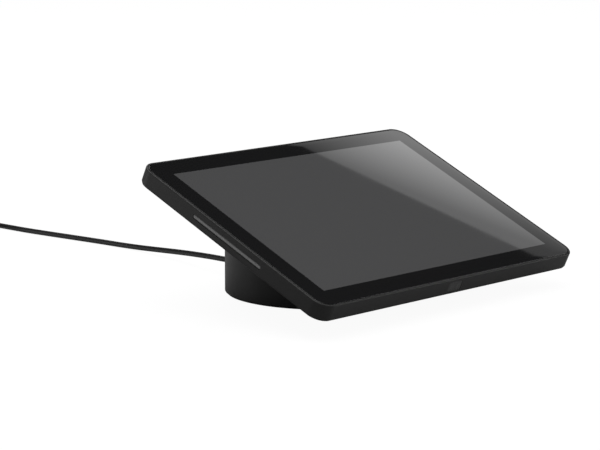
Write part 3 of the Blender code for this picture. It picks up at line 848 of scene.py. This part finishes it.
def addFootRing(look):
    # a flat ring whose lower face carries shallow round grooves: height follows a raised cosine
    low, high = nodeBox("foot_ring")
    outer = (high[0] - low[0]) / 2
    inner = look["innerRadius"]
    edge = look["edge"]
    across = np.linspace(inner + edge, outer - edge, 81)
    wave = (across - inner) / (outer - inner) * look["grooves"]
    dip = look["grooveDepth"] * np.clip(np.cos(2 * math.pi * wave) * -1.6 - 0.6, 0, 1)
    profile = list(zip(across, low[2] + dip))
    profile += arc(outer - edge, low[2] + edge, edge, -90, 0, 4)[1:]
    profile += [(outer, high[2]), (inner, high[2]), (inner, low[2] + edge)]
    grid = standing(turnedGrid(profile, look["steps"]), (0, baseMiddle[1], 0))
    mesh = meshFromGrid("rubber_foot_ring", grid, wrapRows=True)
    ring = newPiece("rubber_foot_ring", mesh, rubber)
    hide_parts("foot_ring")


def screwSpot(node):
    low, high = nodeBox(node)
    return (low + high) / 2, low, high


coverLook = {
    "top": 0.0030, "edge": 0.0003, "recess": 0.0004, "recessTo": 0.030, "stepTo": 0.0308,
    "flatTo": 0.0470, "centre": 0.0006, "seatRadius": 0.0033, "seatFloor": 0.0027,
    "throughRadius": 0.0017, "steps": 160,
}
screwLook = {
    "headThick": 0.0015, "dome": 0.0007, "centre": 0.0004, "shank": 0.0014, "turns": 15,
    "threadDepth": 0.00018, "threadStep": 0.0005, "tip": 0.0009, "crossHalf": 0.0014,
    "crossArm": 0.00042, "crossDeep": 0.0011,
}


def crossGrid(half, arm, low, high):
    # a plus-shaped outline, carried from one level to another and narrowing as it goes in
    corners = [(half, arm), (arm, arm), (arm, half), (-arm, half), (-arm, arm), (-half, arm),
               (-half, -arm), (-arm, -arm), (-arm, -half), (arm, -half), (arm, -arm), (half, -arm)]
    outline = np.array(corners)
    rows = []
    for level, size in ((low, 1.08), (high, 0.55)):
        rows.append(np.concatenate([outline * size, np.full((len(outline), 1), level)], 1))
    return np.array(rows)


def addBottom(look):
    # a disc with a rounded edge, four sunk screw seats and a shallow stepped centre
    low, high = nodeBox("bottom_cover")
    radius = (high[0] - low[0]) / 2
    top, edge, recess = look["top"], look["edge"], look["recess"]
    base = float(low[2])
    profile = [(look["centre"], base + recess), (look["recessTo"], base + recess),
               (look["recessTo"] + 0.0004, base + 0.0003), (look["stepTo"], base),
               (look["flatTo"], base)]
    profile += arc(radius - edge, base + edge, edge, -90, 0, 5)
    profile += [(radius, top), (look["centre"], top)]
    grid = standing(turnedGrid(profile, look["steps"]), (0, baseMiddle[1], 0))
    cover = newPiece("pedestal_floor", meshFromGrid("pedestal_floor", grid), moulded)
    seats = []
    for i in range(1, 5):
        middle = screwSpot(f"bottom_screw_{i}")[0]
        wide, narrow = look["seatRadius"], look["throughRadius"]
        seat = turnedGrid([(wide + 0.0003, base - 0.001), (wide, base + 0.0004),
                           (wide, look["seatFloor"])], 40)
        through = turnedGrid([(narrow, 0.002), (narrow, 0.006)], 32)
        for shape in (seat, through):
            seats.append(meshFromGrid("seat", shape + [middle[0], middle[1], 0]))
    cut(cover, seats)
    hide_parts("bottom_cover")


def addFloorScrews(look):
    # a low dome, a straight head side, a shank with stepped threads, and a sunk cross
    steel = platedSteel("screwSteel", 0.5, 0.3)
    for i in range(1, 5):
        middle, screwLow, screwHigh = screwSpot(f"bottom_screw_{i}")
        headRadius = (screwHigh[0] - screwLow[0]) / 2
        head = float(screwLow[2])
        under = head + look["headThick"]
        shank = look["shank"]
        profile = [(look["centre"], head)] + [
            (headRadius * math.sin(a), head + look["dome"] * (1 - math.cos(a)) ** 1.4)
            for a in np.linspace(0.3, math.pi / 2, 8)
        ]
        profile += [(headRadius, under), (shank, under)]
        profile += [(shank - look["threadDepth"] * (k % 2), under + look["threadStep"] * (k + 1))
                    for k in range(look["turns"])]
        profile += [(look["tip"], float(screwHigh[2]))]
        grid = turnedGrid(profile, 36) + [middle[0], middle[1], 0]
        made = newPiece(f"floor_screw_{i}", meshFromGrid(f"floor_screw_{i}", grid), steel)
        recess = crossGrid(look["crossHalf"], look["crossArm"], head - 0.0002,
                           head + look["crossDeep"])
        cut(made, [meshFromGrid("recess", recess + [middle[0], middle[1], 0])])
        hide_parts(f"bottom_screw_{i}")


addFootRing(footLook)
addBottom(coverLook)
addFloorScrews(screwLook)
print("underside built")

glandLook = {
    "ribs": 5, "ribDepth": 0.0005, "steps": 64, "wide": 0.0039, "narrowing": 0.0014,
    "neck": 0.0036, "flange": 0.0049, "tip": 0.0024, "mouth": 0.0019,
}


def addGland(look):
    # a turned boot: flange, then a taper broken by round grooves, ending close round the lead
    wallOut = float(baseHigh[1])
    tip = float(glandHigh[1])
    back = float(glandLow[1])
    start = wallOut + 0.0026
    along = np.linspace(start, tip - 0.0004, 90)
    share = (along - start) / (tip - start)
    radius = look["wide"] - look["narrowing"] * share
    neck, flange = look["neck"], look["flange"]
    groove = np.clip(np.cos(2 * math.pi * (share * look["ribs"] + 0.5)) * 1.4 - 0.4, 0, 1)
    radius = radius - look["ribDepth"] * groove * (share < 0.93)
    profile = [(0.0030, back), (0.0051, back + 0.0008), (0.0052, back + 0.0026),
               (neck, back + 0.0027), (neck, wallOut + 0.0003), (flange, wallOut + 0.0003)]
    profile += arc(flange, wallOut + 0.0006, 0.0003, -90, 0, 4)
    profile += arc(0.0047, wallOut + 0.0018, 0.0005, 0, 90, 5)
    profile += list(zip(radius, along)) + [(look["tip"], tip), (look["mouth"], tip)]
    grid = standing(turnedGrid(profile, look["steps"]), (0, 0, float(glandMiddle[2])), alongY=True)
    gland = newPiece("lead_gland", meshFromGrid("lead_gland", grid), rubber)
    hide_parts("cable_gland")
    return gland


tieLook = {"corner": 0.0018, "thick": 0.00042, "edge": 0.00012}


def addTie(look):
    # a flat strap round the bundle: a rounded rectangle outline, carried across the strap's width
    low, high = nodeBox("coil_tie")
    middle = (low + high) / 2
    half = (high - low) / 2
    path = roundPath(float(half[1]), float(half[2]), look["corner"], 10)
    wide = float(half[0])
    thick, edge = look["thick"], look["edge"]
    profile = [(-thick, -wide + edge), (-thick + edge, -wide), (-edge, -wide), (0, -wide + edge),
               (0, wide - edge), (-edge, wide), (-thick + edge, wide), (-thick, wide - edge)]
    grid = carried(profile, path)
    grid = np.stack([grid[..., 2], grid[..., 0], grid[..., 1]], -1) + middle
    tie = newPiece("lead_tie", meshFromGrid("lead_tie", grid, wrapRows=True), wovenTape())
    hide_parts("coil_tie")
    return tie


def wovenTape():
    # black hook-and-loop tape: a close two-way weave
    finish = Finish("wovenTape", grey(0.012), 0.8, Sheen_Weight=0.4, Specular_IOR_Level=0.2)
    spot = finish.place()
    weave = finish.node(
        "ShaderNodeTexWave", {"wave_type": "BANDS", "bands_direction": "X"},
        {"Vector": spot, "Scale": 700.0, "Distortion": 0.4},
    ) * finish.node(
        "ShaderNodeTexWave", {"wave_type": "BANDS", "bands_direction": "Z"},
        {"Vector": spot, "Scale": 700.0, "Distortion": 0.4},
    )
    finish.feed("Base Color", finish.mixed(weave, grey(0.007), grey(0.022)))
    finish.feed("Roughness", finish.between(weave, 0.72, 0.88))
    finish.bump(weave, 0.00012)
    return finish.material


plugLook = {
    "contacts": 8, "pitch": 0.00102, "bladeLong": 0.0028, "bladeHigh": 0.0011, "bladeRound": 0.0006,
    "bladeThick": 0.00016, "bladeBack": 0.0031, "bladeDrop": 0.0019, "bootRadius": 0.0033,
    "bootNarrowing": 0.0006, "bootRibs": 4, "bootRibDepth": 0.00035, "bootSteps": 56,
}


def addPlug(look):
    # the body and the latch keep their own shape; eight blades and a ribbed boot are added
    clear = clearMoulding()
    gold = goldPlate()
    body = frame["nodes"]["plug_body"]
    body.data.materials.clear()
    body.data.materials.append(clear)
    low, high = nodeBox("plug_body")
    middle = (low + high) / 2
    bootLow, bootHigh = nodeBox("plug_boot")
    level = float(bootLow[2] + bootHigh[2]) / 2
    made = []
    count, thick = look["contacts"], look["bladeThick"]
    path = roundPath(look["bladeLong"], look["bladeHigh"], look["bladeRound"], 6)
    for i in range(count):
        # a thin blade in each slot: a flat strip with rounded corners
        x = middle[0] + (i - (count - 1) / 2) * look["pitch"]
        grid = carried([(0, -thick), (0, thick)], path)
        grid = np.stack([grid[..., 2] + x, grid[..., 0] + low[1] + look["bladeBack"],
                         grid[..., 1] + level - look["bladeDrop"]], -1)
        name = f"plug_contact_{i + 1}"
        blade = newPiece(name, meshFromGrid(name, grid), gold)
        made.append(blade)
    start, stop = float(bootLow[1]), float(bootHigh[1])
    along = np.linspace(start + 0.0008, stop - 0.0004, 70)
    share = (along - start) / (stop - start)
    radius = look["bootRadius"] - look["bootNarrowing"] * share ** 2
    groove = np.clip(np.cos(2 * math.pi * (share * look["bootRibs"] + 0.5)) * 1.4 - 0.4, 0, 1)
    radius = radius - look["bootRibDepth"] * groove * (share < 0.9) * (share > 0.15)
    profile = [(0.0028, start), (0.0032, start + 0.0003)] + list(zip(radius, along))
    profile += [(0.0024, stop), (0.0018, stop)]
    bootMiddle = (float(bootLow[0] + bootHigh[0]) / 2, 0, level)
    grid = standing(turnedGrid(profile, look["bootSteps"]), bootMiddle, alongY=True)
    boot = newPiece("plug_strain_boot", meshFromGrid("plug_strain_boot", grid), rubber)
    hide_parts("plug_boot")
    latch = frame["nodes"]["plug_latch"]
    latch.data.materials.clear()
    latch.data.materials.append(clear)
    return [body, latch, boot] + made


gland = addGland(glandLook)
tie = addTie(tieLook)
plugPieces = addPlug(plugLook)
print("gland, tie and plug built")


def dressInside():
    # the inner pieces keep their own shape and get a finish by their material slot
    finishes = {
        "aluminium": platedSteel("chassisSheet", 0.62, 0.36),
        "steel": platedSteel("zincPlate", 0.52, 0.3),
        "dark_steel": platedSteel("blackedSteel", 0.09, 0.42),
        "circuit_board": circuitBoard(),
        "ribbon": amberFilm(),
        "display": panelBack(),
        "foot_rubber": rubber,
        "cord": bpy.data.materials["cordJacket"],
        "case": moulded,
        "clear_plastic": bpy.data.materials["clearMoulding"],
    }
    slots = {part["node"]: part["material_slot"] for part in frame["record"]["subparts"]}
    for node, thing in frame["nodes"].items():
        material = finishes.get(slots[node])
        if material and node not in ("plug_body", "plug_latch"):
            thing.data.materials.clear()
            thing.data.materials.append(material)


dressInside()
print("inner pieces dressed")

# the bounce sheet's colours beside and behind are painted shade and painted light
floorLook = {"half": 14.0, "white": 0.94, "colour": 0.06, "bounce": 0.26,
              "paintedShadeBeside": 0.18, "paintedLightBehind": 0.42}
lightLook = {
    "overhead": {"place": (-0.5, -0.3, 2.4), "size": (2.6, 2.6), "power": 48},
    "front": {"place": (0.4, -2.6, 1.0), "size": (2.0, 1.2), "power": 5},
    "backStrip": {"place": (-1.0, 1.45, 0.30), "size": (0.30, 0.5), "power": 2.0},
    "backFill": {"place": (1.3, 1.7, 2.3), "size": (1.0, 1.0), "power": 20},
    "rightFill": {"place": (2.6, -1.6, 0.9), "size": (1.2, 1.0), "power": 16},
}
worldStrength = 0.6
cardLook = {
    "away": 2.6, "toward": (0.764, 0.312, 0.565), "edgeTurn": math.radians(-20.5),
    "edgeAt": (0.0, 0.0315), "left": -0.22, "right": 0.46, "down": 0.30,
    "middle": 0.569, "slopeRight": -4.77, "slopeUp": -11.35, "least": 0.29, "most": 1.28,
}


def addPlane(name, corners, material, **seen):
    mesh = bpy.data.meshes.new(name)
    mesh.from_pydata(corners, [], [(0, 1, 2, 3)])
    mesh.materials.append(material)
    made = bpy.data.objects.new(name, mesh)
    bpy.context.scene.collection.objects.link(made)
    for ray, value in seen.items():
        setattr(made, f"visible_{ray}", value)
    return made


def addFloor(look):
    # two sheets: a white one that is seen, and a duller one just below that only lights the object,
    # painted lighter behind and darker to the left
    half = look["half"]
    for name, level in (("floor", 0.0), ("bounce_floor", -0.0004)):
        corners = [(-half, -half, level), (half, -half, level), (half, half, level),
                   (-half, half, level)]
        if name == "floor":
            paper = Finish("whitePaper", grey(look["colour"]), 0.8, Specular_IOR_Level=0.0,
                           Emission_Color=grey(1.0), Emission_Strength=look["white"])
            addPlane(name, corners, paper.material, diffuse=False, glossy=False, shadow=False)
        else:
            board = Finish("paleBoard", grey(look["bounce"]), 0.8, Specular_IOR_Level=0.0)
            spot = board.place()
            # painted light and painted shade: the bounce sheet is lighter behind and darker off to
            # the left, colour standing in for uneven light on the object
            behind = board.axis(spot, "Y") * 0.95 - board.axis(spot, "X") * 0.3
            beside = (0 - board.axis(spot, "X")).above(0.13, 0.08)
            near = board.mixed(beside, grey(look["bounce"]), grey(look["paintedShadeBeside"]))
            board.feed("Base Color", board.mixed(
                behind.above(0.20, 0.16), near, grey(look["paintedLightBehind"])))
            addPlane(name, corners, board.material, camera=False, transmission=False, shadow=False)


def addCard(look):
    # a bright card far off to the right, seen only in reflections: its long upper edge is the line
    # across the glass, and its brightness falls off in a straight slope; these are fitted values
    toward = np.array(look["toward"]) / np.linalg.norm(look["toward"])
    right = np.cross(toward, (0, 0, 1))
    right /= np.linalg.norm(right)
    up = np.cross(right, toward)
    middle = screenMiddle + toward * look["away"]
    turn = look["edgeTurn"]
    along = np.array([math.cos(turn), math.sin(turn)])
    down = np.array([math.sin(turn), -math.cos(turn)])
    start = np.array(look["edgeAt"])
    flat = [start + along * look["left"], start + along * look["right"],
            start + along * look["right"] + down * look["down"],
            start + along * look["left"] + down * look["down"]]
    finish = Finish("brightCard", grey(0.0), 1.0, Specular_IOR_Level=0.0)
    spot = finish.node("ShaderNodeTexCoord", out="Object")
    u = finish.node("ShaderNodeVectorMath", {"operation": "DOT_PRODUCT"},
                    {0: spot, 1: tuple(right)}, out="Value") - float(right @ middle)
    v = finish.node("ShaderNodeVectorMath", {"operation": "DOT_PRODUCT"},
                    {0: spot, 1: tuple(up)}, out="Value") - float(up @ middle)
    glow = u * look["slopeRight"] + v * look["slopeUp"] + look["middle"]
    glow = glow.maths("MINIMUM", glow.maths("MAXIMUM", glow, look["least"]), look["most"])
    finish.feed("Emission Color", finish.node(
        "ShaderNodeCombineColor", None, {"Red": glow, "Green": glow, "Blue": glow}))
    finish.feed("Emission Strength", 1.0)
    corners = [tuple(middle + right * x + up * y) for x, y in flat]
    addPlane("bright_card", corners, finish.material, camera=False, diffuse=False, shadow=False,
             transmission=False)


def addSoftbox(name, look):
    lamp = bpy.data.lights.new(name, "AREA")
    lamp.shape = "RECTANGLE"
    lamp.size, lamp.size_y = look["size"]
    lamp.energy = look["power"]
    made = bpy.data.objects.new(name, lamp)
    made.visible_camera = False
    made.location = look["place"]
    aim = Vector((0, 0, 0.05)) - Vector(look["place"])
    made.rotation_euler = aim.to_track_quat("-Z", "Y").to_euler()
    bpy.context.scene.collection.objects.link(made)


def addWorld(strength):
    world = bpy.data.worlds.new("studio")
    bpy.context.scene.world = world
    world.use_nodes = True
    sky = world.node_tree.nodes["Background"]
    sky.inputs["Color"].default_value = (1, 1, 1, 1)
    sky.inputs["Strength"].default_value = strength
    world.cycles_visibility.glossy = False  # soft light all round, with nothing of it in the glass


addFloor(floorLook)
addCard(cardLook)
for name, look in lightLook.items():
    addSoftbox(name, look)
addWorld(worldStrength)
bpy.context.scene.view_settings.view_transform = "Standard"
print("floor and lights set")
